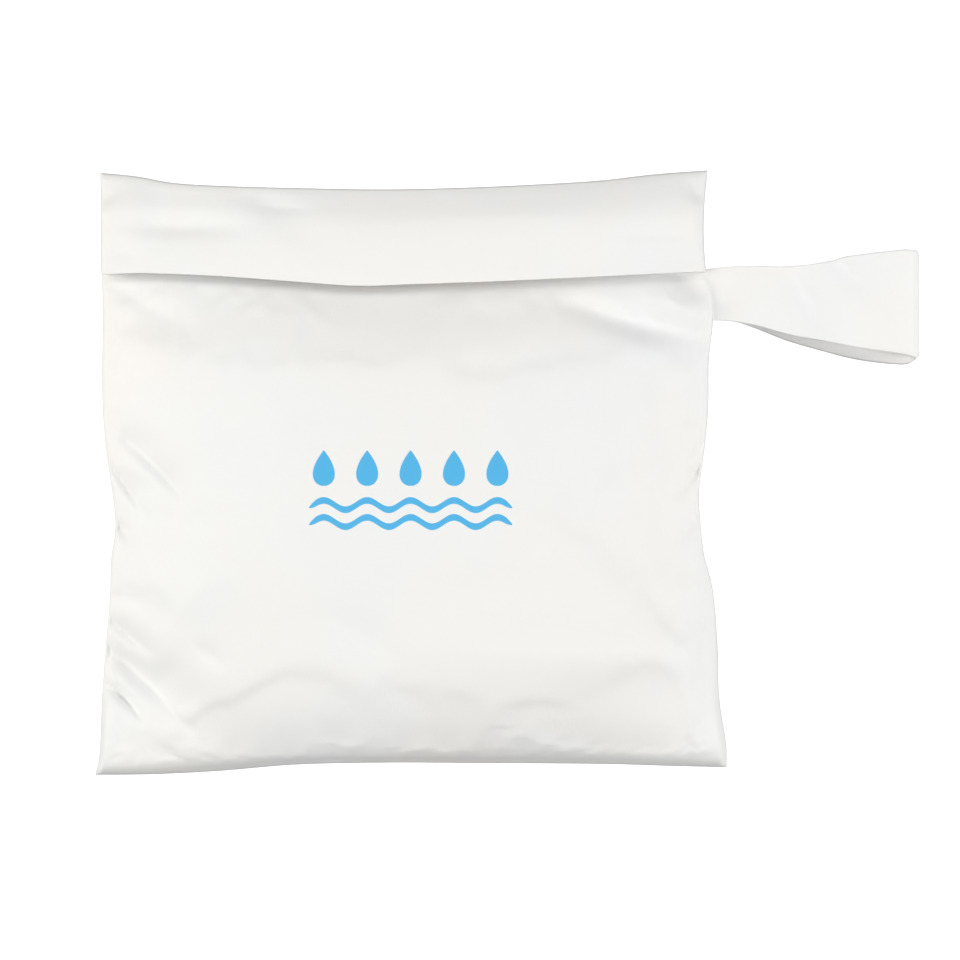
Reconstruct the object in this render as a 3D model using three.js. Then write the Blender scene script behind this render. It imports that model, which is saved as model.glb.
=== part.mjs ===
// A cloth wet bag lying on its back, puffed up as if something soft were inside.
// A front and a back panel are sewn together round three sides, a flap hangs from the top edge over
// the mouth, and a strap loop comes out of the right seam.
// +X is to the right as one looks down on the front, +Y is towards the flap and +Z is up.
// The origin is on the surface that the bag lies on, under the middle of the pouch.
import * as THREE from "three";

// Driving dimensions, in millimetres
const bagWidth = 293; // between the side seams
const bagHeight = 284; // from the bottom seam to the top edge
const clothWall = 1.2; // one layer of coated cloth, with its turned hem
const layerGap = 0.4; // between layers that are sewn together
const seamRoll = 1.8; // outer radius where a panel rolls into its seam
const seamHeight = 19; // of the seam over the surface, halfway along a side
const cornerDroop = 7; // how much lower the corners hang
const frontRise = 28; // of the front over the seam, at its fullest
const backDepth = 24; // of the back under the seam, before the surface flattens it
const flapHeight = 46; // from the top edge to the flap's hem
const mouthOverlap = 28; // how far the front panel goes up behind the flap
const mouthGap = 3; // how much further the mouth stands open in its middle
const mouthSlope = 44; // how far below the hem the front has risen to its full height
const strapReach = 99.5; // from the side seam to the loop's fold
const strapWidth = 54; // at the loop's fold
const strapBelowHem = 13.5; // from the flap's hem to the middle of the strap's root
const strapFoldRadius = 6; // outer radius of the loop's fold
const strapSettle = 46; // from the seam to where the lower layer reaches the surface
const surfaceGap = 0.1; // under the strap, so that the back panel carries the bag

// How far each edge lies outside a plain rectangle, as shares of bagWidth for the sides and of bagHeight
// for the ends
const sideOutline = [
  { up: 0, left: 0.0123, right: 0.031 },
  { up: 0.035, left: 0.0049, right: 0.0304 },
  { up: 0.12, left: 0, right: 0.0178 },
  { up: 0.2, left: -0.006, right: 0.015 },
  { up: 0.3, left: -0.0145, right: 0.0066 },
  { up: 0.36, left: -0.0165, right: -0.0085 },
  { up: 0.41, left: -0.0238, right: -0.0135 },
  { up: 0.46, left: -0.0195, right: -0.0162 },
  { up: 0.53, left: -0.0095, right: -0.0075 },
  { up: 0.6, left: -0.003, right: -0.001 },
  { up: 0.68, left: -0.0016, right: 0 },
  { up: 0.76, left: -0.003, right: 0.007 },
  { up: 0.84, left: 0, right: -0.0058 },
  { up: 0.92, left: 0.0013, right: -0.008 },
  { up: 1, left: 0.0041, right: 0 },
];
const endOutline = [
  { across: 0, bottom: 0.0128, top: 0.0136 },
  { across: 0.06, bottom: 0.0118, top: 0.0068 },
  { across: 0.12, bottom: 0.0094, top: -0.0048 },
  { across: 0.2, bottom: 0.0042, top: -0.0105 },
  { across: 0.32, bottom: -0.0068, top: -0.0145 },
  { across: 0.47, bottom: -0.0102, top: -0.017 },
  { across: 0.6, bottom: -0.0094, top: -0.014 },
  { across: 0.72, bottom: -0.0086, top: -0.0083 },
  { across: 0.82, bottom: -0.007, top: -0.0015 },
  { across: 0.91, bottom: -0.0034, top: 0.0098 },
  { across: 1, bottom: 0, top: 0.0179 },
];
// How far the flap's hem sags below a straight line, as shares of bagHeight
const hemOutline = [
  { across: 0, sag: 0.007 },
  { across: 0.06, sag: -0.0005 },
  { across: 0.12, sag: -0.0081 },
  { across: 0.2, sag: -0.0083 },
  { across: 0.32, sag: -0.0009 },
  { across: 0.42, sag: 0.0053 },
  { across: 0.52, sag: 0.003 },
  { across: 0.72, sag: 0.0025 },
  { across: 0.82, sag: 0.0028 },
  { across: 0.91, sag: 0.007 },
  { across: 1, sag: 0.0088 },
];

// Folds. across and up place the middle; length and width are shares of bagWidth, depth of frontRise.
// lean is in degrees anticlockwise from +X. A negative depth is a ridge.
const frontFolds = [
  // three creases at the left waist
  { across: 0.078, up: 0.515, lean: -40, length: 0.18, width: 0.018, depth: 0.11 },
  { across: 0.05, up: 0.462, lean: -50, length: 0.13, width: 0.016, depth: 0.12 },
  { across: 0.04, up: 0.392, lean: -42, length: 0.08, width: 0.017, depth: 0.1 },
  // four down the left side
  { across: 0.046, up: 0.3, lean: -18, length: 0.11, width: 0.018, depth: 0.08 },
  { across: 0.056, up: 0.232, lean: -22, length: 0.13, width: 0.018, depth: 0.1 },
  { across: 0.05, up: 0.172, lean: -38, length: 0.12, width: 0.018, depth: 0.09 },
  { across: 0.04, up: 0.11, lean: -51, length: 0.11, width: 0.017, depth: 0.1 },
  // from the hem's left end
  { across: 0.1, up: 0.765, lean: -32, length: 0.22, width: 0.026, depth: 0.07 },
  // two that run to the strap, and one beside the right seam
  { across: 0.935, up: 0.785, lean: -34, length: 0.17, width: 0.018, depth: 0.1 },
  { across: 0.875, up: 0.745, lean: -22, length: 0.27, width: 0.024, depth: 0.1 },
  { across: 0.91, up: 0.6, lean: -84, length: 0.26, width: 0.032, depth: 0.08 },
  // the pinch at the right waist
  { across: 0.945, up: 0.445, lean: 30, length: 0.13, width: 0.02, depth: 0.1 },
  // soft hollows and a ridge over the belly
  { across: 0.43, up: 0.235, lean: -27, length: 0.28, width: 0.036, depth: 0.06 },
  { across: 0.62, up: 0.3, lean: -4, length: 0.5, width: 0.065, depth: 0.07 },
  { across: 0.74, up: 0.195, lean: 9, length: 0.5, width: 0.06, depth: -0.06 },
];
const flapFolds = [
  { across: 0.155, up: 0.905, lean: -4, length: 0.28, width: 0.014, depth: 0.04 },
  { across: 0.9, up: 0.942, lean: 2, length: 0.24, width: 0.014, depth: 0.035 },
  { across: 0.34, up: 0.91, lean: -35, length: 0.22, width: 0.035, depth: 0.04 },
];
const backFolds = [
  { across: 0.05, up: 0.62, lean: -20, length: 0.12, width: 0.015, depth: 0.07 },
  { across: 0.045, up: 0.45, lean: 8, length: 0.12, width: 0.015, depth: 0.07 },
  { across: 0.05, up: 0.28, lean: 24, length: 0.12, width: 0.015, depth: 0.06 },
  { across: 0.95, up: 0.58, lean: 14, length: 0.12, width: 0.015, depth: 0.07 },
  { across: 0.955, up: 0.42, lean: -10, length: 0.12, width: 0.015, depth: 0.07 },
  { across: 0.4, up: 0.05, lean: 80, length: 0.12, width: 0.016, depth: 0.06 },
];

// The strap's long edges, as shares of strapWidth from the middle of its root.
// slip is how far the lower layer has moved towards the bottom seam.
const strapOutline = [
  { along: 0, high: 0.226, low: -0.229, slip: 0 },
  { along: 0.1, high: 0.249, low: -0.237, slip: 0 },
  { along: 0.22, high: 0.255, low: -0.278, slip: 0 },
  { along: 0.38, high: 0.256, low: -0.358, slip: 0.02 },
  { along: 0.54, high: 0.296, low: -0.41, slip: 0.055 },
  { along: 0.69, high: 0.359, low: -0.466, slip: 0.072 },
  { along: 0.85, high: 0.397, low: -0.51, slip: 0.065 },
  { along: 1, high: 0.417, low: -0.544, slip: 0.02 },
];

// Shape factors, without a length
const crownPower = 2.8; // the larger, the steeper a panel rises from its seam and the flatter its middle
const bellySink = 0.8; // below 1, the fullest place lies nearer to the bottom seam
const droopPower = 3; // the larger, the nearer to the corners the droop begins
const foldFade = 3; // folds end this many seam rolls from an edge

const { clamp, degToRad, lerp, smoothstep } = THREE.MathUtils;
const halfGap = layerGap / 2;

// Reads a column of a table at a place between its rows, on a smooth curve through them all.
function readTable(rows, placeColumn, column, place) {
  const last = rows.length - 1;
  const next = clamp(rows.findIndex((row) => row[placeColumn] >= place), 1, last);
  const from = rows[next - 1];
  const to = rows[next];
  const span = to[placeColumn] - from[placeColumn];
  const slopeAt = (index) => {
    const before = rows[Math.max(index - 1, 0)];
    const after = rows[Math.min(index + 1, last)];
    return (after[column] - before[column]) / (after[placeColumn] - before[placeColumn]);
  };
  const t = clamp((place - from[placeColumn]) / span, 0, 1);
  const ease = t * t * (3 - 2 * t);
  const leaving = t * (1 - t) * (1 - t) * span * slopeAt(next - 1);
  const arriving = t * t * (t - 1) * span * slopeAt(next);
  return lerp(from[column], to[column], ease) + leaving + arriving;
}

// The outline: across and up run from 0 to 1 over the sheet, from the bottom left corner.
function sheetX(across, up) {
  const left = -bagWidth * (0.5 + readTable(sideOutline, "up", "left", up));
  const right = bagWidth * (0.5 + readTable(sideOutline, "up", "right", up));
  return lerp(left, right, across);
}

function sheetY(across, up) {
  const bottom = -bagHeight * (0.5 + readTable(endOutline, "across", "bottom", across));
  const top = bagHeight * (0.5 + readTable(endOutline, "across", "top", across));
  return lerp(bottom, top, up);
}

function seamZ(across, up) {
  const towardsCorner = Math.abs(2 * across - 1) * Math.abs(2 * up - 1);
  return seamHeight - cornerDroop * towardsCorner ** droopPower;
}

const isEnd = (share) => share === 0 || share === 1;

function edgeDistance(across, up) {
  const aside = Math.min(across, 1 - across) * bagWidth;
  const endwise = Math.min(up, 1 - up) * bagHeight;
  return Math.max(Math.min(aside, endwise), 0);
}

function roll(across, up) {
  const inward = 1 - Math.min(edgeDistance(across, up) / seamRoll, 1);
  return seamRoll * Math.sqrt(1 - inward * inward);
}

// From 0 inside the rolled edges to 1 in the middle
function crown(share, length, sink) {
  const inside = clamp((share * length - seamRoll) / (length - 2 * seamRoll), 0, 1);
  return 1 - Math.abs(2 * inside ** sink - 1) ** crownPower;
}

function dome(across, up) {
  return crown(across, bagWidth, 1) * crown(up, bagHeight, bellySink);
}

function foldDepth(folds, across, up) {
  const x = across * bagWidth;
  const y = up * bagHeight;
  let depth = 0;
  for (const fold of folds) {
    const turn = degToRad(fold.lean);
    const dx = x - fold.across * bagWidth;
    const dy = y - fold.up * bagHeight;
    const along = (dx * Math.cos(turn) + dy * Math.sin(turn)) / ((fold.length * bagWidth) / 2);
    const aside = (dy * Math.cos(turn) - dx * Math.sin(turn)) / (fold.width * bagWidth);
    const fade = Math.max(1 - along * along, 0) ** 2;
    depth += fold.depth * frontRise * fade * Math.exp(-aside * aside);
  }
  return depth * smoothstep(edgeDistance(across, up), 0, foldFade * seamRoll);
}

// Shares of the height where the flap's hem and the front panel's mouth edge lie
function hemUp(across) {
  return 1 - flapHeight / bagHeight - readTable(hemOutline, "across", "sag", across);
}

const mouthUp = 1 - (flapHeight - mouthOverlap) / bagHeight;
const flapStack = seamRoll + layerGap; // the flap's side edges lie on the front panel's

function mouthOpening(across) {
  return mouthGap * crown(across, bagWidth, 1);
}

// The outer faces, as points. The flap's folds press into the front panel behind it.
function sheetPoint(across, up, z) {
  return new THREE.Vector3(sheetX(across, up), sheetY(across, up), z);
}

function frontPoint(across, share) {
  const up = share * mouthUp;
  const hem = hemUp(across);
  const sunk = mouthOpening(across) * smoothstep(up, hem - mouthSlope / bagHeight, hem);
  const folds = foldDepth(frontFolds, across, up) + foldDepth(flapFolds, across, up);
  const rise = roll(across, up) + frontRise * dome(across, up) - folds - sunk;
  return sheetPoint(across, up, seamZ(across, up) + halfGap + rise);
}

function flapPoint(across, share) {
  const up = lerp(hemUp(across), 1, share);
  const stack = flapStack * (1 - smoothstep(up, mouthUp + seamRoll / bagHeight, 1));
  const rise = roll(across, up) + frontRise * dome(across, up) - foldDepth(flapFolds, across, up);
  return sheetPoint(across, up, seamZ(across, up) + halfGap + stack + rise);
}

function backPoint(across, up) {
  const fall = roll(across, up) + backDepth * dome(across, up) - foldDepth(backFolds, across, up);
  return sheetPoint(across, up, Math.max(seamZ(across, up) - halfGap - fall, 0));
}

// Steps over a sheet: two close ones for each rolled edge, the rest closer together towards the edges
function gridSteps(length, count, crowding, rolledStart, rolledEnd) {
  const rollShare = seamRoll / length;
  const inRoll = 0.3 * rollShare;
  const start = rolledStart ? rollShare : 0;
  const end = rolledEnd ? 1 - rollShare : 1;
  const steps = [];
  for (let i = 0; i <= count; i++) {
    const t = i / count;
    steps.push(lerp(start, end, t - (crowding * Math.sin(2 * Math.PI * t)) / (2 * Math.PI)));
  }
  if (rolledStart) steps.unshift(0, inRoll);
  if (rolledEnd) steps.push(1 - inRoll, 1);
  return steps;
}

// The outward direction, from the points a thousandth of the sheet to each side
function facing(point, across, share, side) {
  const step = 1e-3;
  const along = point(Math.min(across + step, 1), share).sub(point(Math.max(across - step, 0), share));
  const up = point(across, Math.min(share + step, 1)).sub(point(across, Math.max(share - step, 0)));
  return along.cross(up).normalize().multiplyScalar(side);
}

// A closed wall from a grid of outer points and the directions that they face. side is -1 where the grid
// is left-handed.
function wallGeometry(outer, normals, side) {
  const rows = outer.length;
  const columns = outer[0].length;
  const layer = rows * columns;
  const inner = outer.map((row, r) =>
    row.map((point, c) => point.clone().addScaledVector(normals[r][c], -clothWall)),
  );
  const positions = [...outer.flat(), ...inner.flat()].flatMap((point) => [...point]);
  const triangles = [];
  const quad = (a, b, c, d) => triangles.push(...(side > 0 ? [a, b, c, a, c, d] : [a, c, b, a, d, c]));
  const at = (r, c) => r * columns + c;
  for (let r = 0; r + 1 < rows; r++) {
    for (let c = 0; c + 1 < columns; c++) {
      quad(at(r, c), at(r, c + 1), at(r + 1, c + 1), at(r + 1, c));
      quad(layer + at(r, c), layer + at(r + 1, c), layer + at(r + 1, c + 1), layer + at(r, c + 1));
    }
  }
  const rim = [];
  for (let c = 0; c + 1 < columns; c++) rim.push(at(0, c));
  for (let r = 0; r + 1 < rows; r++) rim.push(at(r, columns - 1));
  for (let c = columns - 1; c > 0; c--) rim.push(at(rows - 1, c));
  for (let r = rows - 1; r > 0; r--) rim.push(at(r, 0));
  rim.forEach((from, i) => {
    const to = rim[(i + 1) % rim.length];
    quad(to, from, layer + from, layer + to);
  });
  const geometry = new THREE.BufferGeometry();
  geometry.setAttribute("position", new THREE.Float32BufferAttribute(positions, 3));
  geometry.setIndex(triangles);
  geometry.computeVertexNormals();
  return geometry;
}

// A sewn panel: its seamed edges end in a flat rim that faces the other panel's. Where two of them meet, in
// a corner, the rim is mitred.
function panelGeometry(point, steps, side, isSeam) {
  const outer = steps.up.map((up) => steps.across.map((across) => point(across, up)));
  const normals = steps.up.map((up) =>
    steps.across.map((across) => {
      if (!isSeam(across, up)) return facing(point, across, up, side);
      if (isEnd(across) && isEnd(up)) return new THREE.Vector3(2 * across - 1, 2 * up - 1, 0);
      return facing(point, across, up, side).setZ(0).normalize();
    }),
  );
  return wallGeometry(outer, normals, side);
}

// The strap: one band from the seam out to the fold and back underneath.
function strapGeometry() {
  const rootUp = 1 - (flapHeight + strapBelowHem) / bagHeight;
  const seamX = sheetX(1, rootUp);
  const rootX = seamX + layerGap;
  const rootY = sheetY(1, rootUp);
  const rootZ = seamZ(1, rootUp);
  const foldX = seamX + strapReach - strapFoldRadius;
  const foldZ = surfaceGap + strapFoldRadius;
  const run = foldX - rootX;
  // How far the seam at a given Y lies beyond the seam at the middle of the root
  const seamShift = (y) => sheetX(1, (y - sheetY(1, 0)) / (sheetY(1, 1) - sheetY(1, 0))) - seamX;
  const rootLift = halfGap + clothWall;
  const layerSteps = 17;
  const foldSteps = 7;
  const stations = [];
  for (let i = 0; i < layerSteps; i++) {
    const along = i / layerSteps;
    const ease = along * along * (3 - 2 * along);
    const z = lerp(rootZ + rootLift, foldZ + strapFoldRadius, ease);
    stations.push({ x: rootX + run * along, z, along: (run * along) / strapReach, under: 0 });
  }
  for (let i = 0; i <= foldSteps; i++) {
    const turn = (Math.PI * i) / foldSteps;
    const x = foldX + strapFoldRadius * Math.sin(turn);
    const z = foldZ + strapFoldRadius * Math.cos(turn);
    stations.push({ x, z, along: (x - rootX) / strapReach, under: i / foldSteps });
  }
  for (let i = layerSteps - 1; i >= 0; i--) {
    const out = run * (i / layerSteps);
    const z = lerp(rootZ - rootLift, surfaceGap, smoothstep(out, 0, strapSettle));
    stations.push({ x: rootX + out, z, along: out / strapReach, under: 1 });
  }
  const acrossShares = [0, 0.2, 0.4, 0.6, 0.8, 1];
  const outer = stations.map((station) => {
    const slip = strapWidth * station.under * readTable(strapOutline, "along", "slip", station.along);
    const high = rootY + strapWidth * readTable(strapOutline, "along", "high", station.along) - slip;
    const low = rootY + strapWidth * readTable(strapOutline, "along", "low", station.along) - slip;
    const followsSeam = 1 - smoothstep(station.x - rootX, 0, strapSettle);
    return acrossShares.map((share) => {
      const y = lerp(low, high, share);
      return new THREE.Vector3(station.x + seamShift(y) * followsSeam, y, station.z);
    });
  });
  const normals = stations.map((station, i) => {
    const before = stations[Math.max(i - 1, 0)];
    const after = stations[Math.min(i + 1, stations.length - 1)];
    const normal = new THREE.Vector3(before.z - after.z, 0, after.x - before.x).normalize();
    if (i === 0 || i === stations.length - 1) normal.set(0, 0, Math.sign(normal.z));
    return acrossShares.map(() => normal);
  });
  return wallGeometry(outer, normals, -1);
}

const bag = new THREE.Group();

function addPiece(name, geometry) {
  const whiteCloth = new THREE.MeshStandardMaterial({ color: 0xf1f1ee, roughness: 0.62, metalness: 0 });
  const mesh = new THREE.Mesh(geometry, whiteCloth);
  mesh.name = name;
  bag.add(mesh);
}

const frontSteps = {
  across: gridSteps(bagWidth, 34, 0.55, true, true),
  up: gridSteps(bagHeight * mouthUp, 34, 0.3, true, false),
};
const backSteps = {
  across: gridSteps(bagWidth, 22, 0.5, true, true),
  up: gridSteps(bagHeight, 20, 0.5, true, true),
};
const flapSteps = {
  across: frontSteps.across,
  up: gridSteps(flapHeight, 7, 0.3, false, true),
};
const frontSeams = (across, share) => isEnd(across) || share === 0;
const backSeams = (across, share) => isEnd(across) || isEnd(share);
const flapSeams = (across, share) => isEnd(across) || share === 1;
addPiece("front_panel", panelGeometry(frontPoint, frontSteps, 1, frontSeams));
addPiece("back_panel", panelGeometry(backPoint, backSteps, -1, backSeams));
addPiece("top_flap", panelGeometry(flapPoint, flapSteps, 1, flapSeams));
addPiece("strap_loop", strapGeometry());

export default bag;
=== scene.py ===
import math
import bpy
import numpy as np
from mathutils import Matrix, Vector, noise


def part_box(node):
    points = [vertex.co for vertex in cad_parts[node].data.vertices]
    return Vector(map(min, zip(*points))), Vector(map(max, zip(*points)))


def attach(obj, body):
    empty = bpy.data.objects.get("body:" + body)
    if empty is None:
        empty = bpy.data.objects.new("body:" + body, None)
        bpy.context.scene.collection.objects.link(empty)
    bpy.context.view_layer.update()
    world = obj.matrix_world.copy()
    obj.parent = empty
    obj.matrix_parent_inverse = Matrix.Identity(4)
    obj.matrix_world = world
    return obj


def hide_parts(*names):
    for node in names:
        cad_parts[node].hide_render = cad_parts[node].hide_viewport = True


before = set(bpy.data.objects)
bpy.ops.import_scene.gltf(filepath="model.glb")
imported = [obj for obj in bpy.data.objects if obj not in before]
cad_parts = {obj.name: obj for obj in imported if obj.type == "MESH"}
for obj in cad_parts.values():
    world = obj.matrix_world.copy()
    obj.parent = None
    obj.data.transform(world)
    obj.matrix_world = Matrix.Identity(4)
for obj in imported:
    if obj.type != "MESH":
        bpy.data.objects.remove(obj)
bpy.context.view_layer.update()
print("frame loaded:", ", ".join(sorted(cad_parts)))

mm = 0.001

# How the picture is laid over the bag: one pixel's size, and the pixel over the middle of the pouch
picture = {
    "pixel": 0.482 * mm,
    "middleX": 405,
    "middleY": 474,
    "side": 960,
}


def fromPixel(x, y):
    return (x - picture["middleX"]) * picture["pixel"], (picture["middleY"] - y) * picture["pixel"]


# The pouch. The outline is in shares of its width (sides) or height (ends), outside a plain rectangle.
pouch = {
    "sides": {
        "up": [0, 0.035, 0.12, 0.2, 0.3, 0.36, 0.41, 0.46, 0.53, 0.6, 0.68, 0.76, 0.84, 0.92, 1],
        "left": [0.0123, 0.0049, 0, -0.006, -0.0145, -0.0165, -0.0238, -0.0195, -0.0095, -0.003, -0.0016,
                 -0.003, 0, 0.0013, 0.0041],
        "right": [0.031, 0.0304, 0.0178, 0.015, 0.0066, -0.0085, -0.0135, -0.0162, -0.0075, -0.001, 0,
                  0.007, -0.0058, -0.008, 0],
    },
    "ends": {
        "across": [0, 0.06, 0.12, 0.2, 0.32, 0.47, 0.6, 0.72, 0.82, 0.91, 1],
        "bottom": [0.0128, 0.0118, 0.0094, 0.0042, -0.0068, -0.0102, -0.0094, -0.0086, -0.007, -0.0034, 0],
        "top": [0.0136, 0.0068, -0.0048, -0.0105, -0.0145, -0.017, -0.014, -0.0083, -0.0015, 0.0098, 0.0179],
    },
    "wall": 1.2 * mm,
    "seamGap": 0.4 * mm,
    "seamRoll": 1.8 * mm,
    "seamHeight": 19 * mm,
    "cornerDroop": 7 * mm,
    "droopPower": 3,
    "frontRise": 28 * mm,
    "backDepth": 24 * mm,
    "crownPower": 2.8,
    "bellySink": 0.8,
    "frontRoll": {"height": 3.4 * mm, "behindFlap": 1.7 * mm, "sides": 2.6 * mm, "bottom": 7.5 * mm},
    "bottomTurn": {"height": 4 * mm, "width": 10 * mm, "corner": 4 * mm, "fade": (20 * mm, 75 * mm)},
    "cornerTurn": {"height": 3.2 * mm, "width": 5.5 * mm, "across": 32 * mm, "fade": (8 * mm, 40 * mm)},
    "ears": {"left": 0.75, "right": 0.35, "across": 30 * mm, "up": 26 * mm},
    "fullness": {"height": 5 * mm, "reach": 16 * mm, "from": 0.3, "to": 0.8, "top": 0.5},
}

# The flap and the mouth behind it. The hem's sag is in shares of the pouch's height. The mouth's edge shows
# through the flap as a line: across and line are pixels, and rise is how far it lifts the flap, in mm.
flap = {
    "height": 46 * mm,
    "overlap": 28 * mm,
    "hem": {
        "across": [0, 0.06, 0.12, 0.2, 0.32, 0.42, 0.52, 0.72, 0.82, 0.91, 1],
        "sag": [0.009, 0.002, -0.0056, -0.0055, 0.0023, 0.0085, 0.006, 0.0045, 0.0048, 0.0085, 0.0096],
    },
    "sag": 10.4 * mm,
    "dip": 11.5 * mm,
    "dipReach": 38 * mm,
    "dipAtMouth": 5 * mm,
    "slot": {"depth": 2.2 * mm, "reach": 3.4 * mm, "ends": 14 * mm, "rightShare": 0.35},
    "mouthEdge": {
        "across": [98, 130, 160, 205, 250, 300, 350, 450, 550, 620, 660, 710],
        "line": [211, 212, 218, 218, 222, 228, 228, 221, 220, 219, 216, 215],
        "rise": [0.8, 0.8, -0.5, -0.6, 0.6, 1.0, 0.8, 1.0, 1.8, 2.2, 2.4, 2.2],
    },
    "edgeRadius": 0.4 * mm,
    "edgeFade": 24 * mm,
    "roll": {"height": 2.4 * mm, "sides": 1.8 * mm, "top": 4 * mm},
    "endClosed": 16 * mm,
}

backLow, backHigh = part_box("back_panel")
pouchWidth = (backHigh.x - backLow.x) / (1 + max(pouch["sides"]["left"]) + max(pouch["sides"]["right"]))
pouchHeight = (backHigh.y - backLow.y) / (1 + max(pouch["ends"]["bottom"]) + max(pouch["ends"]["top"]))
mouthUp = 1 - (flap["height"] - flap["overlap"]) / pouchHeight


# A smooth curve through one column of a table
def readTable(table, placeColumn, column, places):
    knots, values = np.array(table[placeColumn], float), np.array(table[column], float)
    slopes = np.empty_like(values)
    slopes[1:-1] = (values[2:] - values[:-2]) / (knots[2:] - knots[:-2])
    slopes[0] = (values[1] - values[0]) / (knots[1] - knots[0])
    slopes[-1] = (values[-1] - values[-2]) / (knots[-1] - knots[-2])
    after = np.clip(np.searchsorted(knots, places), 1, len(knots) - 1)
    before = after - 1
    span = knots[after] - knots[before]
    t = np.clip((places - knots[before]) / span, 0, 1)
    ease = t * t * (3 - 2 * t)
    leaving = t * (1 - t) ** 2 * span * slopes[before]
    arriving = t * t * (t - 1) * span * slopes[after]
    return values[before] * (1 - ease) + values[after] * ease + leaving + arriving


def smoothstep(x, low, high):
    t = np.clip((x - low) / (high - low), 0, 1)
    return t * t * (3 - 2 * t)


def sheetX(across, up):
    left = -pouchWidth * (0.5 + readTable(pouch["sides"], "up", "left", up))
    right = pouchWidth * (0.5 + readTable(pouch["sides"], "up", "right", up))
    return left + (right - left) * across


def sheetY(across, up):
    bottom = -pouchHeight * (0.5 + readTable(pouch["ends"], "across", "bottom", across))
    top = pouchHeight * (0.5 + readTable(pouch["ends"], "across", "top", across))
    return bottom + (top - bottom) * up


def seamZ(across, up):
    towardsCorner = np.abs(2 * across - 1) * np.abs(2 * up - 1)
    return pouch["seamHeight"] - pouch["cornerDroop"] * towardsCorner ** pouch["droopPower"]


def edgeDistance(across, up):
    aside = np.minimum(across, 1 - across) * pouchWidth
    endwise = np.minimum(up, 1 - up) * pouchHeight
    return np.maximum(np.minimum(aside, endwise), 0)


def rollShare(distance, width):
    inward = 1 - np.clip(distance / width, 0, 1)
    return np.sqrt(1 - inward * inward)


def rolledEdge(across, up):
    return pouch["seamRoll"] * rollShare(edgeDistance(across, up), pouch["seamRoll"])


def flapRoll(across, up):
    roll = flap["roll"]
    sides = rollShare(np.minimum(across, 1 - across) * pouchWidth, roll["sides"])
    return roll["height"] * sides * rollShare((1 - up) * pouchHeight, roll["top"])


# The front turns over its side seams in a tight roll, and over its bottom seam in a wide one
def frontRoll(across, up):
    roll = pouch["frontRoll"]
    sides = rollShare(np.minimum(across, 1 - across) * pouchWidth, roll["sides"])
    hidden = smoothstep(up, hemUp(across) - 5 * mm / pouchHeight, hemUp(across))
    height = roll["height"] * (1 - hidden) + roll["behindFlap"] * hidden
    tight = height * sides * rollShare(up * pouchHeight, roll["bottom"])
    turn = pouch["bottomTurn"]
    wide = turn["height"] * rollShare(up * pouchHeight, turn["width"])
    aside = np.minimum(across, 1 - across) * pouchWidth
    wide = wide * smoothstep(aside, 0, turn["corner"]) * (1 - smoothstep(up * pouchHeight, *turn["fade"]))
    corner = pouch["cornerTurn"]
    sharp = corner["height"] * rollShare(up * pouchHeight, corner["width"])
    sharp = sharp * rollShare(aside, corner["width"]) * np.exp(-(aside / corner["across"]) ** 2)
    return tight + wide + sharp * (1 - smoothstep(up * pouchHeight, *corner["fade"]))


# The bottom corners are less blown up, the left one least: both layers lie close there
def ears(across, up):
    aside = np.minimum(across, 1 - across) * pouchWidth / pouch["ears"]["across"]
    endwise = up * pouchHeight / pouch["ears"]["up"]
    depth = np.where(across < 0.5, pouch["ears"]["left"], pouch["ears"]["right"])
    return 1 - depth * np.exp(-aside ** 2 - endwise ** 2)


# What the pouch holds sinks to the bottom right
def fullness(across, up):
    full = pouch["fullness"]
    rise = full["height"] * (1 - np.exp(-up * pouchHeight / full["reach"]))
    sideways = smoothstep(across, full["from"], full["to"]) * (1 - smoothstep(across, 0.94, 1))
    return rise * sideways * (1 - smoothstep(up, full["top"] / 3, full["top"]))


def crown(share, length, sink):
    inside = np.clip((share * length - pouch["seamRoll"]) / (length - 2 * pouch["seamRoll"]), 0, 1)
    return 1 - np.abs(2 * inside ** sink - 1) ** pouch["crownPower"]


def dome(across, up):
    return crown(across, pouchWidth, 1) * crown(up, pouchHeight, pouch["bellySink"])


def hemUp(across):
    return 1 - flap["height"] / pouchHeight - readTable(flap["hem"], "across", "sag", across)


# The three sheets before their edges are rolled: heights over shares across and up the pouch
def frontShape(across, share):
    up = share * mouthUp
    hem = hemUp(across)
    below = np.clip((hem - up) * pouchHeight / flap["dipReach"], 0, 1)
    behind = smoothstep(up, hem, mouthUp)
    deep = flap["dip"] * (1 - behind) + flap["dipAtMouth"] * behind
    sunk = deep * crown(across, pouchWidth, 1) * (1 - (4 * below - below ** 4) / 3)
    slot = flap["slot"]
    pressed = 1 - smoothstep((hem - up) * pouchHeight, 0, slot["reach"])
    pressed = pressed * smoothstep(np.minimum(across, 1 - across) * pouchWidth, 0, slot["ends"])
    depth = slot["depth"] * (1 - (1 - slot["rightShare"]) * smoothstep(across, 0.25, 1))
    sunk = sunk + depth * pressed * (1 - behind)
    puff = pouch["frontRise"] * dome(across, up) * ears(across, up)
    z = seamZ(across, up) + pouch["seamGap"] / 2 + puff + fullness(across, up) - sunk
    return up, z


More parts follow.
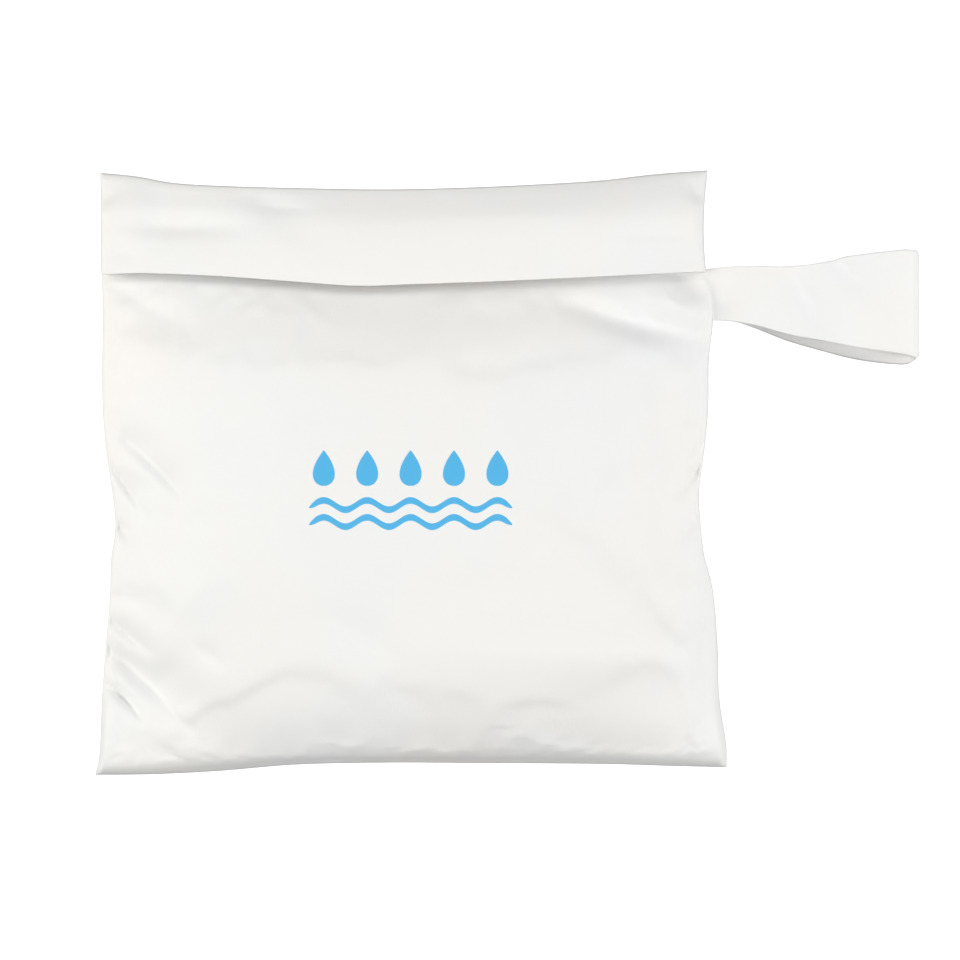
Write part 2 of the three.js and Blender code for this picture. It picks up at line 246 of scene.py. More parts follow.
def flapShape(across, share):
    hem = hemUp(across)
    up = hem + (1 - hem) * share
    stack = pouch["seamRoll"] + pouch["seamGap"] + 0.3 * mm
    # past the mouth's edge the flap comes down to the back, at its ends at once
    ends = 1 - smoothstep(np.minimum(across, 1 - across) * pouchWidth, 0, flap["endClosed"])
    landed = 1 - 0.75 * ends * (1 - mouthUp)
    stack = stack * (1 - smoothstep(up, mouthUp + 0.5 * mm / pouchHeight, landed))
    down = (1 - up) / (1 - hem)
    sag = flap["sag"] * (0.7 * down + 0.3 * down * down) * crown(across, pouchWidth, 1)
    z = seamZ(across, up) + pouch["seamGap"] / 2 + stack + pouch["frontRise"] * dome(across, up) - sag
    return up, z


def mouthEdgeUnderFlap(x, y, topY):
    placeX = x / picture["pixel"] + picture["middleX"]
    line = readTable(flap["mouthEdge"], "across", "line", placeX)
    rise = readTable(flap["mouthEdge"], "across", "rise", placeX) * mm
    lineY = (picture["middleY"] - line) * picture["pixel"]
    above = np.maximum(y - lineY, 0)
    bend = (np.sqrt(above ** 2 + flap["edgeRadius"] ** 2) - flap["edgeRadius"]) / (topY - lineY)
    return rise * np.where(y > lineY, 1 - bend, 1 - smoothstep(lineY - y, 0, flap["edgeFade"]))


def backShape(across, share):
    fall = pouch["backDepth"] * dome(across, share)
    return share, seamZ(across, share) - pouch["seamGap"] / 2 - fall


# Folds, placed over the picture in pixels: each runs from one end to the other, bowed aside by its bend,
# with its half width at both ends and its depth in mm, under 0 for a ridge. Sharp is 1 for a crease and 2
# for a soft hollow, peak is the share of its length where it is deepest, and lean widens its left bank and
# narrows its right.
foldColumns = (
    "fromX", "fromY", "toX", "toY", "startWidth", "endWidth", "depth", "sharp", "peak", "bend", "lean",
)
frontFolds = [
    # left waist
    (100, 420, 192, 504, 2.5, 6.0, 4.6, 1.2, 0.7, 3, 0.5),
    (104, 458, 152, 520, 1.2, 2.6, 3.2, 1.0, 0.5, -1, 0.4),
    (110, 514, 135, 549, 1.3, 2.4, 3.2, 1.0, 0.45, 0, 0.3),
    # down the left side
    (106, 596, 150, 601, 1.8, 4.0, 1.8, 1.2, 0.2, 0, 0),
    (103, 612, 162, 656, 2.6, 5.0, 4.4, 1.2, 0.5, -4, 0.4),
    (98, 643, 184, 718, 4.5, 11.0, 8.0, 1.4, 0.55, 2, 0.4),
    (97, 679, 145, 722, 1.8, 4.0, 6.0, 1.1, 0.6, 3, 0.4),
    (170, 712, 200, 732, 3.4, 4.0, 2.0, 1.6, 0.5, 0, 0),
    (194, 640, 232, 666, 4.0, 5.0, 1.7, 1.6, 0.5, 0, 0),
    (104, 650, 246, 738, 12.0, 16.0, 3.8, 2.0, 0.45, 0, 0),
    # from the hem's left end
    (103, 282, 214, 352, 3.0, 9.0, 2.0, 1.6, 0.4, 4, 0),
    # to the strap
    (660, 258, 710, 300, 4.0, 6.0, 3.2, 2.0, 0.55, 0, 0),
    (626, 286, 712, 320, 7.0, 7.0, -2.4, 1.8, 0.6, 0, 0),
    (548, 300, 716, 341, 6.0, 8.0, 7.0, 1.9, 0.65, -3, 0),
    (652, 330, 664, 580, 7.0, 8.0, 1.8, 1.6, 0.4, 0, 0.4),
    # right waist
    (694, 420, 690, 466, 6.0, 6.0, 2.0, 1.8, 0.5, 0, 0),
    (712, 453, 676, 498, 1.3, 3.2, 3.0, 1.1, 0.55, 0, 0),
    (706, 508, 668, 546, 3.0, 5.0, 2.2, 1.4, 0.4, 0, 0),
    # over the belly
    (313, 606, 420, 664, 8.0, 10.0, 2.2, 1.6, 0.5, 0, 0.2),
    (400, 596, 600, 588, 14.0, 16.0, 2.8, 1.8, 0.5, 0, 0),
    (350, 636, 740, 640, 12.0, 18.0, -3.4, 1.8, 0.75, -12, 0),
    (120, 580, 260, 566, 16.0, 24.0, -3.4, 2.0, 0.5, 0, 0),
    (180, 470, 300, 450, 14.0, 14.0, 1.2, 2.0, 0.5, 0, 0),
    # at the bottom
    (332, 770, 338, 720, 3.0, 5.0, 1.1, 1.4, 0.3, 0, 0),
    (376, 770, 380, 730, 3.0, 5.0, -1.0, 1.8, 0.3, 0, 0),
    (520, 770, 515, 715, 4.0, 7.0, 1.0, 1.6, 0.3, 0, 0),
]
flapFolds = [
    (124, 225, 268, 228, 4.8, 5.6, 2.5, 2.0, 0.35, 0, 0),
    (240, 190, 350, 262, 7.0, 10.0, 1.3, 2.0, 0.4, 0, 0),
    (256, 206, 330, 212, 3.0, 4.0, 1.0, 1.5, 0.4, 0, 0),
    (600, 238, 700, 236, 1.6, 2.0, 0.6, 1.4, 0.6, 0, 0),
    (112, 252, 140, 254, 3.0, 4.0, 0.6, 1.8, 0.4, 0, 0),
]
backFolds = [
    (104, 350, 190, 320, 1.8, 4.5, 2.0, 1.3, 0.2, 2, 0.2),
    (110, 470, 190, 480, 1.8, 4.5, 2.2, 1.2, 0.2, -2, 0),
    (102, 610, 180, 640, 1.8, 4.5, 2.0, 1.3, 0.2, 2, -0.2),
    (708, 380, 630, 400, 1.8, 4.5, 2.0, 1.3, 0.2, -2, 0),
    (704, 520, 640, 500, 1.8, 4.5, 2.2, 1.2, 0.2, 2, 0.2),
    (716, 660, 640, 690, 1.8, 4.5, 1.8, 1.3, 0.2, 0, 0),
    (300, 764, 310, 700, 1.8, 4.5, 1.4, 1.3, 0.2, 0, 0),
    (480, 762, 470, 690, 1.8, 4.5, 1.4, 1.3, 0.2, 2, 0),
]


def foldRelief(folds, x, y):
    relief = np.zeros_like(x)
    for row in folds:
        fold = dict(zip(foldColumns, row))
        startX, startY = fromPixel(fold["fromX"], fold["fromY"])
        endX, endY = fromPixel(fold["toX"], fold["toY"])
        length = math.hypot(endX - startX, endY - startY)
        directionX, directionY = (endX - startX) / length, (endY - startY) / length
        along = ((x - startX) * directionX + (y - startY) * directionY) / length
        aside = (y - startY) * directionX - (x - startX) * directionY
        inside = np.clip(along, 0, 1)
        aside = aside - fold["bend"] * picture["pixel"] * 4 * inside * (1 - inside)
        width = (fold["startWidth"] + (fold["endWidth"] - fold["startWidth"]) * inside) * mm
        width = width * (1 + fold["lean"] * np.sign(aside))
        fade = smoothstep(along, -0.15, fold["peak"]) * (1 - smoothstep(along, fold["peak"], 1.1))
        relief -= fold["depth"] * mm * fade * np.exp(-np.abs(aside / width) ** fold["sharp"])
    return relief


# A sheet laid out as a grid whose UV map holds its shares across and up; the rows crowd towards the edges
def addSheet(name, columns, rows, crowding):
    bpy.ops.object.select_all(action="DESELECT")
    bpy.ops.mesh.primitive_grid_add(x_subdivisions=columns, y_subdivisions=rows, size=1)
    sheet = bpy.context.object
    sheet.name = name
    sheet.data.name = name
    shares = np.empty(len(sheet.data.vertices) * 3)
    sheet.data.vertices.foreach_get("co", shares)
    shares = shares.reshape(-1, 3)[:, :2] + 0.5
    shares = shares - crowding * np.sin(2 * math.pi * shares) / (2 * math.pi)
    loops = np.empty(len(sheet.data.loops), int)
    sheet.data.loops.foreach_get("vertex_index", loops)
    sheet.data.uv_layers[0].data.foreach_set("uv", shares[loops].ravel())
    return sheet


def readShares(sheet):
    loops = np.empty(len(sheet.data.loops), int)
    sheet.data.loops.foreach_get("vertex_index", loops)
    uv = np.empty(len(loops) * 2)
    sheet.data.uv_layers[0].data.foreach_get("uv", uv)
    shares = np.zeros((len(sheet.data.vertices), 2))
    shares[loops] = uv.reshape(-1, 2)
    return np.clip(shares[:, 0], 0, 1), np.clip(shares[:, 1], 0, 1)


def readPoints(sheet):
    points = np.empty(len(sheet.data.vertices) * 3)
    sheet.data.vertices.foreach_get("co", points)
    return points.reshape(-1, 3)


def writePoints(sheet, points):
    sheet.data.vertices.foreach_set("co", points.ravel())
    sheet.data.update()


def applyModifier(piece, kind, settings):
    bpy.ops.object.select_all(action="DESELECT")
    piece.select_set(True)
    bpy.context.view_layer.objects.active = piece
    modifier = piece.modifiers.new(kind, kind)
    for key, value in settings.items():
        setattr(modifier, key, value)
    bpy.ops.object.modifier_apply(modifier=modifier.name)


def unevenness(points, size, amount):
    return np.array([amount * noise.noise(Vector(p) / size) for p in points])


# Gives a sheet its wall: it grows away from the side that the normals face, or with outwards -1 towards it
def addWall(sheet, outwards):
    wall = {"thickness": pouch["wall"], "offset": -outwards, "use_even_offset": False}
    applyModifier(sheet, "SOLIDIFY", wall)
    bpy.ops.object.shade_smooth()


# Lets the front's spare cloth buckle between its held edges; no point moves further than the cap
slack = {"spare": 0.01, "pressure": 0.3, "frames": 20, "cap": 1.2 * mm, "stiffness": 12, "bending": 0.2}


def settleCloth(sheet, held):
    before = readPoints(sheet)
    group = sheet.vertex_groups.new(name="held")
    for index, weight in enumerate(held):
        if weight > 0:
            group.add([index], float(weight), "REPLACE")
    bpy.context.view_layer.objects.active = sheet
    modifier = sheet.modifiers.new("cloth", "CLOTH")
    cloth = modifier.settings
    cloth.quality = 6
    cloth.mass = 0.15
    cloth.tension_stiffness = slack["stiffness"]
    cloth.compression_stiffness = slack["stiffness"]
    cloth.shear_stiffness = slack["stiffness"] / 2
    cloth.bending_stiffness = slack["bending"]
    cloth.shrink_min = -slack["spare"]
    cloth.shrink_max = -slack["spare"]
    cloth.use_pressure = True
    cloth.uniform_pressure_force = slack["pressure"]
    cloth.vertex_group_mass = "held"
    cloth.effector_weights.gravity = 0
    modifier.point_cache.frame_start = 1
    modifier.point_cache.frame_end = slack["frames"]
    for step in range(1, slack["frames"] + 1):
        bpy.context.scene.frame_set(step)
    bpy.ops.object.modifier_apply(modifier=modifier.name)
    bpy.context.scene.frame_set(1)
    moved = readPoints(sheet) - before
    reach = np.linalg.norm(moved, axis=1)
    print("cloth moved up to", round(float(reach.max()) / mm, 2), "mm")
    eased = slack["cap"] * np.tanh(reach / slack["cap"]) / np.maximum(reach, 1e-9)
    writePoints(sheet, before + moved * eased[:, None])


frontGrid = {"columns": 112, "rows": 104, "crowding": 0.6}
backGrid = {"columns": 80, "rows": 76, "crowding": 0.5}
flapGrid = {"columns": 112, "rows": 24, "crowding": 0.4}


def makeFront():
    sheet = addSheet("front_cloth", frontGrid["columns"], frontGrid["rows"], frontGrid["crowding"])
    across, share = readShares(sheet)
    up, z = frontShape(across, share)
    writePoints(sheet, np.column_stack([sheetX(across, up), sheetY(across, up), z]))
    belowHem = np.maximum((hemUp(across) - up) * pouchHeight, 0)
    settleCloth(sheet, 1 - smoothstep(np.minimum(edgeDistance(across, up), belowHem), 1 * mm, 9 * mm))
    applyModifier(sheet, "SUBSURF", {"levels": 1, "render_levels": 1, "uv_smooth": "NONE"})
    across, share = readShares(sheet)
    up = share * mouthUp
    points = readPoints(sheet)
    inner = smoothstep(edgeDistance(across, up), 0, 1.2 * pouch["seamRoll"])
    relief = foldRelief(frontFolds, points[:, 0], points[:, 1])
    points[:, 2] += frontRoll(across, up) + relief * inner
    points[:, 2] += unevenness(points, 14 * mm, 0.12 * mm) * inner
    writePoints(sheet, points)
    addWall(sheet, 1)
    return sheet


def makeFlap():
    sheet = addSheet("flap_cloth", flapGrid["columns"], flapGrid["rows"], flapGrid["crowding"])
    across, share = readShares(sheet)
    up, z = flapShape(across, share)
    writePoints(sheet, np.column_stack([sheetX(across, up), sheetY(across, up), z]))
    applyModifier(sheet, "SUBSURF", {"levels": 1, "render_levels": 1, "uv_smooth": "NONE"})
    across, share = readShares(sheet)
    hem = hemUp(across)
    up = hem + (1 - hem) * share
    points = readPoints(sheet)
    inner = smoothstep(edgeDistance(across, up), 0, 3 * pouch["seamRoll"])
    relief = foldRelief(flapFolds, points[:, 0], points[:, 1])
    relief += mouthEdgeUnderFlap(points[:, 0], points[:, 1], sheetY(across, np.ones_like(across)))
    points[:, 2] += flapRoll(across, up) + relief * inner
    writePoints(sheet, points)
    addWall(sheet, 1)
    return sheet


def makeBack():
    sheet = addSheet("back_cloth", backGrid["columns"], backGrid["rows"], backGrid["crowding"])
    across, share = readShares(sheet)
    up, z = backShape(across, share)
    writePoints(sheet, np.column_stack([sheetX(across, up), sheetY(across, up), z]))
    applyModifier(sheet, "SUBSURF", {"levels": 1, "render_levels": 1, "uv_smooth": "NONE"})
    across, up = readShares(sheet)
    points = readPoints(sheet)
    inner = smoothstep(edgeDistance(across, up), 0, 3 * pouch["seamRoll"])
    relief = foldRelief(backFolds, points[:, 0], points[:, 1])
    points[:, 2] -= rolledEdge(across, up) + relief * inner
    points[:, 2] = np.maximum(points[:, 2], 0)
    writePoints(sheet, points)
    sheet.data.flip_normals()
    addWall(sheet, 1)
    return sheet


# The strap: widths and slips are shares of its width, along its reach out of the seam
strap = {
    "reach": 102 * mm,
    "width": 54 * mm,
    "belowHem": 13.5 * mm,
    "foldRadius": 7.5 * mm,
    "settle": 46 * mm,
    "wall": 1.5 * mm,
    "inSeam": 2 * mm,
    "surfaceGap": 0.1 * mm,
    "turnedDown": {"height": 8.5 * mm, "width": 6 * mm},
    "edges": {
        "along": [0, 0.1, 0.22, 0.38, 0.54, 0.69, 0.85, 0.96, 0.985, 1],
        "high": [0.226, 0.249, 0.255, 0.256, 0.296, 0.359, 0.397, 0.417, 0.415, 0.38],
        "low": [-0.229, -0.237, -0.278, -0.358, -0.41, -0.466, -0.51, -0.54, -0.542, -0.52],
        "slip": [0, 0, 0, 0.02, 0.055, 0.072, 0.075, 0.06, 0.05, 0.03],
    },
    "folds": [
        (782, 262, 830, 344, 4.4, 6.0, 2.6, 2.0, 0.5, 4, 0),
        (822, 244, 884, 306, 4.4, 6.0, 2.2, 2.0, 0.45, 0, 0),
        (730, 318, 720, 274, 5.0, 7.0, 1.4, 2.0, 0.5, 0, 0),
    ],
}


def makeStrap():
    sheet = addSheet("strap_cloth", 220, 44, 0)
    wayRound, across = readShares(sheet)
    rootUp = np.array([1 - (flap["height"] + strap["belowHem"]) / pouchHeight])
    one = np.ones(1)
    seamX, rootY, rootZ = sheetX(one, rootUp)[0], sheetY(one, rootUp)[0], seamZ(one, rootUp)[0]
    foldX = seamX + strap["reach"] - strap["foldRadius"]
    foldZ = strap["surfaceGap"] + strap["foldRadius"]
    run = foldX - seamX + strap["inSeam"]
    fold = math.pi * strap["foldRadius"]
    way = wayRound * (2 * run + fold)
    under = np.clip((way - run) / fold, 0, 1)
    turning = (under > 0) & (under < 1)
    out = np.minimum(np.minimum(way, 2 * run + fold - way), run) - strap["inSeam"]
    x = np.where(turning, foldX + strap["foldRadius"] * np.sin(under * math.pi), seamX + out)
    along = np.clip((x - seamX) / strap["reach"], 0, 1)
    slip = strap["width"] * under * readTable(strap["edges"], "along", "slip", along)
    high = rootY + strap["width"] * readTable(strap["edges"], "along", "high", along) - slip
    low = rootY + strap["width"] * readTable(strap["edges"], "along", "low", along) - slip
    y = low + (high - low) * across

    # the upper layer slopes down to the fold, and the lower one to the surface, its near edge turned down
    rootLift = pouch["seamGap"] / 2 + 0.8 * mm
    slope = smoothstep(out, 0, foldX - seamX)
    upperZ = (rootZ + rootLift) * (1 - slope) + (foldZ + strap["foldRadius"]) * slope
    upperZ += foldRelief(strap["folds"], x, y)
    settled = smoothstep(out, 0, strap["settle"])
    inward = np.clip((y - low) / strap["turnedDown"]["width"], 0, 1)
    turned = strap["turnedDown"]["height"] * (4 * inward - inward ** 4) / 3
    turned = turned * smoothstep(along, 0.08, 0.28) * (1 - smoothstep(across, 0.3, 1))
    turned = turned * (1 - 0.5 * smoothstep(along, 0.7, 0.92))
    lowerZ = (rootZ - rootLift) * (1 - settled) + strap["surfaceGap"] * settled + turned
    z = np.where(under <= 0, upperZ, lowerZ)
    roundFold = strap["foldRadius"] * np.cos(under * math.pi)
    z = np.where(turning, foldZ + roundFold + turned * np.maximum(-np.cos(under * math.pi), 0) ** 2, z)

    bottom, top = sheetY(one, one * 0)[0], sheetY(one, one)[0]
    seamShift = sheetX(np.ones_like(y), (y - bottom) / (top - bottom)) - seamX
    x = x + seamShift * (1 - smoothstep(out, 0, strap["settle"]))
    writePoints(sheet, np.column_stack([x, y, z]))
    applyModifier(sheet, "SOLIDIFY", {"thickness": strap["wall"], "offset": -1, "use_even_offset": False})
    bpy.ops.object.shade_smooth()
    return sheet


front = makeFront()
print("front cloth made:", len(front.data.polygons), "faces")
flapCloth = makeFlap()
print("flap made")
back = makeBack()
print("back made")
strapCloth = makeStrap()
print("strap made")


# Small helpers for drawing with nodes
def addNode(tree, kind, operation=None, values=()):
    node = tree.nodes.new(kind)
    if operation:
        node.operation = operation
    for index, value in enumerate(values):
        if value is None:
            continue
        if isinstance(value, bpy.types.NodeSocket):
            tree.links.new(value, node.inputs[index])
        else:
            node.inputs[index].default_value = value
    return node


def calculate(tree, operation, *values):
    return addNode(tree, "ShaderNodeMath", operation, values).outputs[0]


def startGroup(name, inputs, outputs):
    group = bpy.data.node_groups.new(name, "ShaderNodeTree")
    for label, kind, value in inputs:
        socket = group.interface.new_socket(label, in_out="INPUT", socket_type=kind)
        if value is not None:
            socket.default_value = value
    for label, kind in outputs:
        group.interface.new_socket(label, in_out="OUTPUT", socket_type=kind)
    return group, group.nodes.new("NodeGroupInput"), group.nodes.new("NodeGroupOutput")


# A fine knit: ribs of small loops, given in metres along and across the cloth
def makeKnitGroup():
    group, given, result = startGroup(
        "fineKnit",
        [("Place", "NodeSocketVector", None), ("Pitch", "NodeSocketFloat", 0.0007)],
        [("Height", "NodeSocketFloat"), ("Wear", "NodeSocketFloat")],
    )
    turn = calculate(group, "DIVIDE", 2 * math.pi, given.outputs["Pitch"])
    parts = addNode(group, "ShaderNodeSeparateXYZ", values=[given.outputs["Place"]])
    ribs = calculate(group, "SINE", calculate(group, "MULTIPLY", parts.outputs["X"], turn))
    loops = calculate(group, "SINE", calculate(group, "MULTIPLY", parts.outputs["Y"], turn))
    slub = group.nodes.new("ShaderNodeTexNoise")
    slub.inputs["Scale"].default_value = 900
    slub.inputs["Detail"].default_value = 2
    group.links.new(given.outputs["Place"], slub.inputs["Vector"])
    lowRibs = calculate(group, "MULTIPLY", ribs, 0.3)
    knit = calculate(group, "ADD", lowRibs, calculate(group, "MULTIPLY", loops, 0.2))
    group.links.new(calculate(group, "ADD", knit, slub.outputs["Fac"]), result.inputs["Height"])
    fuzz = group.nodes.new("ShaderNodeTexNoise")
    fuzz.inputs["Scale"].default_value = 260
    fuzz.inputs["Detail"].default_value = 4
    group.links.new(given.outputs["Place"], fuzz.inputs["Vector"])
    group.links.new(fuzz.outputs["Fac"], result.inputs["Wear"])
    return group


# Near white that drifts between a warm and a cool tone over a few centimetres
def makeToneGroup():
    group, given, result = startGroup(
        "whiteTone",
        [("Place", "NodeSocketVector", None), ("Warm", "NodeSocketColor", (0.882, 0.864, 0.838, 1)),
         ("Cool", "NodeSocketColor", (0.862, 0.865, 0.858, 1))],
        [("Colour", "NodeSocketColor"), ("Crease", "NodeSocketFloat")],
    )
    drift = group.nodes.new("ShaderNodeTexNoise")
    drift.inputs["Scale"].default_value = 13
    drift.inputs["Detail"].default_value = 2
    group.links.new(given.outputs["Place"], drift.inputs["Vector"])
    spread = group.nodes.new("ShaderNodeMapRange")
    spread.interpolation_type = "SMOOTHSTEP"
    spread.inputs["From Min"].default_value = 0.35
    spread.inputs["From Max"].default_value = 0.65
    group.links.new(drift.outputs["Fac"], spread.inputs["Value"])
    tone = group.nodes.new("ShaderNodeMix")
    tone.data_type = "RGBA"
    group.links.new(spread.outputs["Result"], tone.inputs["Factor"])
    group.links.new(given.outputs["Cool"], tone.inputs["A"])
    group.links.new(given.outputs["Warm"], tone.inputs["B"])
    group.links.new(tone.outputs["Result"], result.inputs["Colour"])
    crease = group.nodes.new("ShaderNodeTexNoise")
    crease.inputs["Scale"].default_value = 60
    crease.inputs["Detail"].default_value = 5
    crease.inputs["Roughness"].default_value = 0.6
    group.links.new(given.outputs["Place"], crease.inputs["Vector"])
    group.links.new(crease.outputs["Fac"], result.inputs["Crease"])
    return group


# The print on the front: a row of drops over two wavy lines, in metres from its middle
printed = {
    "middle": (412, 489),
    "drops": 5,
    "spacing": 20.5 * mm,
    "dropHeight": 17 * mm,
    "dropWidth": 0.8,
    "dropsUp": 1.5 * mm,
    "waveWidth": 96 * mm,
    "waveLength": 20.5 * mm,
    "waveSwing": 2.2 * mm,
    "lineWidth": 3.2 * mm,
    "linesDown": (7.5 * mm, 15.5 * mm),
    "blur": 0.25 * mm,
    "colour": (0.078, 0.456, 0.791, 1),
}


def makePrintGroup():
    group, given, result = startGroup(
        "dropPrint",
        [("Place", "NodeSocketVector", None)],
        [("Mask", "NodeSocketFloat")],
    )
    parts = addNode(group, "ShaderNodeSeparateXYZ", values=[given.outputs["Place"]])
    x, y = parts.outputs["X"], parts.outputs["Y"]

    def inside(distance):
        edge = calculate(group, "DIVIDE", distance, printed["blur"])
        fade = calculate(group, "ADD", edge, 0.5)
        return calculate(group, "MINIMUM", calculate(group, "MAXIMUM", fade, 0.0), 1.0)

    half = printed["drops"] * printed["spacing"] / 2
    step = calculate(group, "WRAP", x, printed["spacing"] / 2, -printed["spacing"] / 2)
    raised = calculate(group, "SUBTRACT", y, printed["dropsUp"])
    up = calculate(group, "DIVIDE", raised, printed["dropHeight"])
    upInside = calculate(group, "MINIMUM", calculate(group, "MAXIMUM", up, 0.0), 1.0)
    narrowing = calculate(group, "SUBTRACT", 1.0, upInside)
    taper = calculate(group, "MULTIPLY", calculate(group, "SQRT", upInside), narrowing)
    reach = calculate(group, "MULTIPLY", taper, printed["dropWidth"] * printed["dropHeight"])
    drop = inside(calculate(group, "SUBTRACT", reach, calculate(group, "ABSOLUTE", step)))
    row = inside(calculate(group, "SUBTRACT", half, calculate(group, "ABSOLUTE", x)))
    mask = calculate(group, "MULTIPLY", drop, row)
    mask = calculate(group, "MULTIPLY", mask, calculate(group, "GREATER_THAN", upInside, 0.004))
    mask = calculate(group, "MULTIPLY", mask, calculate(group, "LESS_THAN", upInside, 0.99))
    turn = calculate(group, "MULTIPLY", x, 2 * math.pi / printed["waveLength"])
    swing = calculate(group, "MULTIPLY", calculate(group, "COSINE", turn), printed["waveSwing"])
    left = calculate(group, "SUBTRACT", printed["waveWidth"] / 2, calculate(group, "ABSOLUTE", x))
    waveEnd = calculate(group, "DIVIDE", left, printed["lineWidth"])
    waveEnd = calculate(group, "MINIMUM", calculate(group, "MAXIMUM", waveEnd, 0.0), 1.0)
    thick = calculate(group, "MULTIPLY", calculate(group, "SQRT", waveEnd), printed["lineWidth"] / 2)
    for down in printed["linesDown"]:
        offset = calculate(group, "SUBTRACT", calculate(group, "ADD", y, down), swing)
        offset = calculate(group, "ABSOLUTE", offset)
        line = inside(calculate(group, "SUBTRACT", thick, offset))
        line = calculate(group, "MULTIPLY", line, calculate(group, "GREATER_THAN", left, 0.0))
        mask = calculate(group, "MAXIMUM", mask, line)
    group.links.new(mask, result.inputs["Mask"])
    return group


knitGroup = makeKnitGroup()
toneGroup = makeToneGroup()
printGroup = makePrintGroup()


# White cloth whose knit follows the sheet: size is the sheet's own width and length in metres
def clothMaterial(name, size, knitDepth=0.04 * mm, printPlace=None):
    material = bpy.data.materials.new(name)
    material.use_nodes = True
    tree = material.node_tree
    shader = tree.nodes["Principled BSDF"]
    coordinates = tree.nodes.new("ShaderNodeTexCoord")
    laidOut = [coordinates.outputs["UV"], (size[0], size[1], 1)]
    laid = addNode(tree, "ShaderNodeVectorMath", "MULTIPLY", laidOut)
    knit = tree.nodes.new("ShaderNodeGroup")
    knit.node_tree = knitGroup
    tree.links.new(laid.outputs["Vector"], knit.inputs["Place"])
    tone = tree.nodes.new("ShaderNodeGroup")
    tone.node_tree = toneGroup
    tree.links.new(coordinates.outputs["Object"], tone.inputs["Place"])
    roughness = calculate(tree, "ADD", calculate(tree, "MULTIPLY", knit.outputs["Wear"], 0.12), 0.5)
    tree.links.new(tone.outputs["Colour"], shader.inputs["Base Color"])
    if printPlace is not None:
        mapping = tree.nodes.new("ShaderNodeMapping")
        mapping.inputs["Location"].default_value = (-printPlace[0], -printPlace[1], 0)
        tree.links.new(coordinates.outputs["Object"], mapping.inputs["Vector"])
        ink = tree.nodes.new("ShaderNodeGroup")
        ink.node_tree = printGroup
        tree.links.new(mapping.outputs["Vector"], ink.inputs["Place"])
        blend = tree.nodes.new("ShaderNodeMix")
        blend.data_type = "RGBA"
        tree.links.new(ink.outputs["Mask"], blend.inputs["Factor"])
        tree.links.new(tone.outputs["Colour"], blend.inputs["A"])
        blend.inputs["B"].default_value = printed["colour"]
        tree.links.new(blend.outputs["Result"], shader.inputs["Base Color"])
        smoother = calculate(tree, "MULTIPLY", ink.outputs["Mask"], 0.1)
        roughness = calculate(tree, "SUBTRACT", roughness, smoother)
    tree.links.new(roughness, shader.inputs["Roughness"])
    shader.inputs["Sheen Weight"].default_value = 0.12
    shader.inputs["Sheen Roughness"].default_value = 0.45
    shader.inputs["Specular IOR Level"].default_value = 0.35
    creased = addNode(tree, "ShaderNodeBump")
    creased.inputs["Distance"].default_value = 0.5 * mm
    creased.inputs["Strength"].default_value = 0.35
    tree.links.new(tone.outputs["Crease"], creased.inputs["Height"])
    woven = addNode(tree, "ShaderNodeBump")
    woven.inputs["Distance"].default_value = knitDepth
    woven.inputs["Strength"].default_value = 0.6
    tree.links.new(knit.outputs["Height"], woven.inputs["Height"])
    tree.links.new(creased.outputs["Normal"], woven.inputs["Normal"])
    tree.links.new(woven.outputs["Normal"], shader.inputs["Normal"])
    return material


frontPaint = clothMaterial("frontCloth", (0.29, 0.27), printPlace=fromPixel(*printed["middle"]))
front.data.materials.append(frontPaint)
flapCloth.data.materials.append(clothMaterial("flapCloth", (0.29, 0.05)))
back.data.materials.append(clothMaterial("backCloth", (0.29, 0.29)))
strapCloth.data.materials.append(clothMaterial("strapCloth", (0.2, 0.05)))
print("cloth finished")

# The floor and the lights
studio = {
    "floorSide": 8.0,
    "floorGrey": 0.5,
    "worldStrength": 0.28,
    "lights": {
        "overhead": {"place": (0, 0, 1.6), "size": (1.1, 1.1), "power": 4.5, "colour": (1, 1, 1)},
        "leftPanel": {
            "place": (-1.3, 0.1, 0.85), "size": (0.6, 0.9),
            "power": 14.4, "colour": (1, 0.985, 0.95),
        },
        "rightPanel": {
            "place": (1.3, -0.1, 0.9), "size": (0.7, 1.0),
            "power": 14, "colour": (0.97, 0.99, 1),
        },
        "topPanel": {"place": (0, 1.3, 0.9), "size": (1.2, 0.8), "power": 0.4, "colour": (0.95, 0.98, 1)},
    },
}

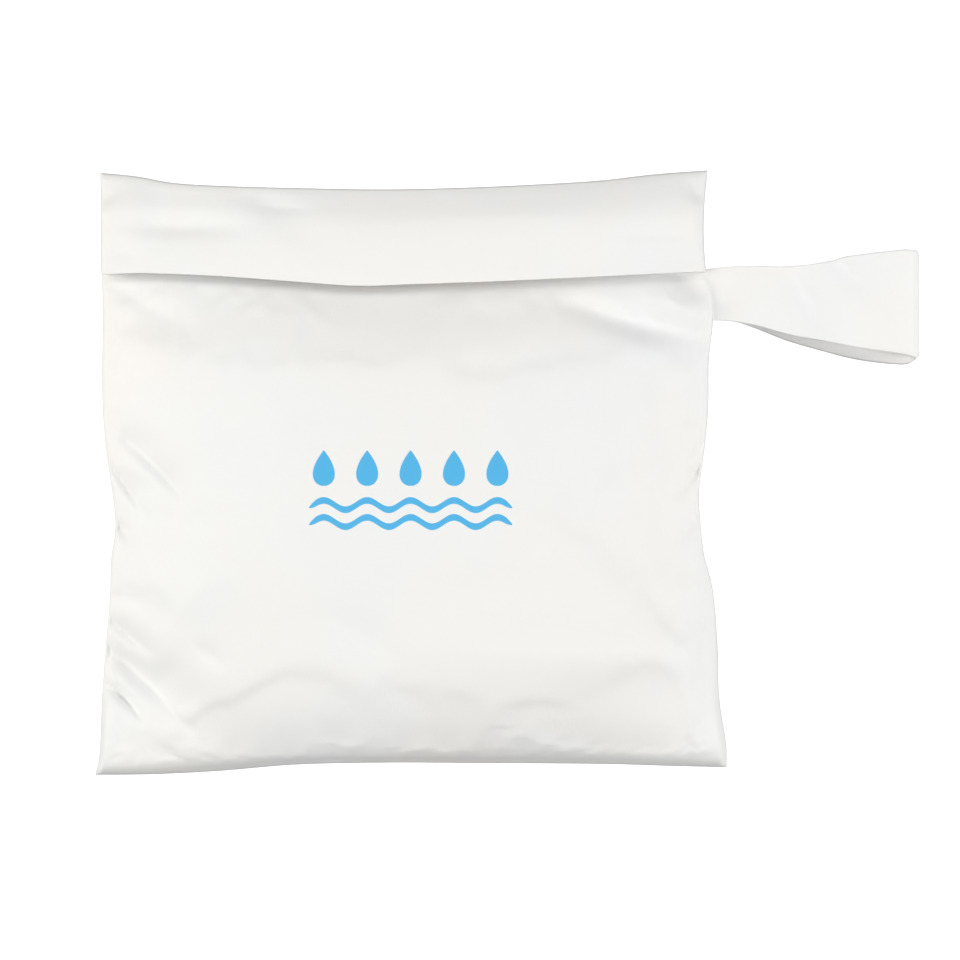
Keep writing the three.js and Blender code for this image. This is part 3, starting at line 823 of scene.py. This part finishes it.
bpy.ops.object.select_all(action="DESELECT")
bpy.ops.mesh.primitive_plane_add(size=studio["floorSide"], location=(0, 0, -0.0002))
floor = bpy.context.object
floor.name = "floor"
floorPaint = bpy.data.materials.new("floorPaint")
floorPaint.use_nodes = True
nodes, links = floorPaint.node_tree.nodes, floorPaint.node_tree.links
floorShader = nodes["Principled BSDF"]
floorShader.inputs["Base Color"].default_value = (*[studio["floorGrey"]] * 3, 1)
floorShader.inputs["Roughness"].default_value = 0.8
floorShader.inputs["Emission Color"].default_value = (1, 1, 1, 1)
lightPath = nodes.new("ShaderNodeLightPath")
glow = nodes.new("ShaderNodeMath")
glow.operation = "MULTIPLY"
glow.inputs[1].default_value = 1.0
links.new(lightPath.outputs["Is Camera Ray"], glow.inputs[0])
links.new(glow.outputs[0], floorShader.inputs["Emission Strength"])
floor.data.materials.append(floorPaint)

world = bpy.data.worlds.new("studio")
bpy.context.scene.world = world
world.use_nodes = True
background = world.node_tree.nodes["Background"]
background.inputs["Color"].default_value = (1, 1, 1, 1)
background.inputs["Strength"].default_value = studio["worldStrength"]


def addLight(name, light):
    bpy.ops.object.light_add(type="AREA", location=light["place"])
    lamp = bpy.context.object
    lamp.name = name
    lamp.data.shape = "RECTANGLE"
    lamp.data.size, lamp.data.size_y = light["size"]
    lamp.data.energy = light["power"]
    lamp.data.color = light["colour"]
    lamp.rotation_mode = "QUATERNION"
    lamp.rotation_quaternion = Vector(light["place"]).to_track_quat("Z", "Y")


for lightName, light in studio["lights"].items():
    addLight(lightName, light)

cameraSetup = {"height": 1.6, "sensor": 36.0}
seamPlane = pouch["seamHeight"]
frameX, frameY = fromPixel(picture["side"] / 2, picture["side"] / 2)
bpy.ops.object.camera_add(location=(frameX, frameY, cameraSetup["height"]), rotation=(0, 0, 0))
camera = bpy.context.object
camera.data.sensor_width = cameraSetup["sensor"]
seenWidth = picture["side"] * picture["pixel"]
camera.data.lens = cameraSetup["sensor"] * (cameraSetup["height"] - seamPlane) / seenWidth
camera.data.dof.use_dof = False
bpy.context.scene.camera = camera
bpy.context.scene.view_settings.view_transform = "Standard"

for piece, node, slotName in (
    (front, "front_panel", "front_cloth"),
    (flapCloth, "top_flap", "flap_cloth"),
    (back, "back_panel", "back_cloth"),
    (strapCloth, "strap_loop", "strap_cloth"),
):
    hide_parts(node)
    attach(piece, "root")
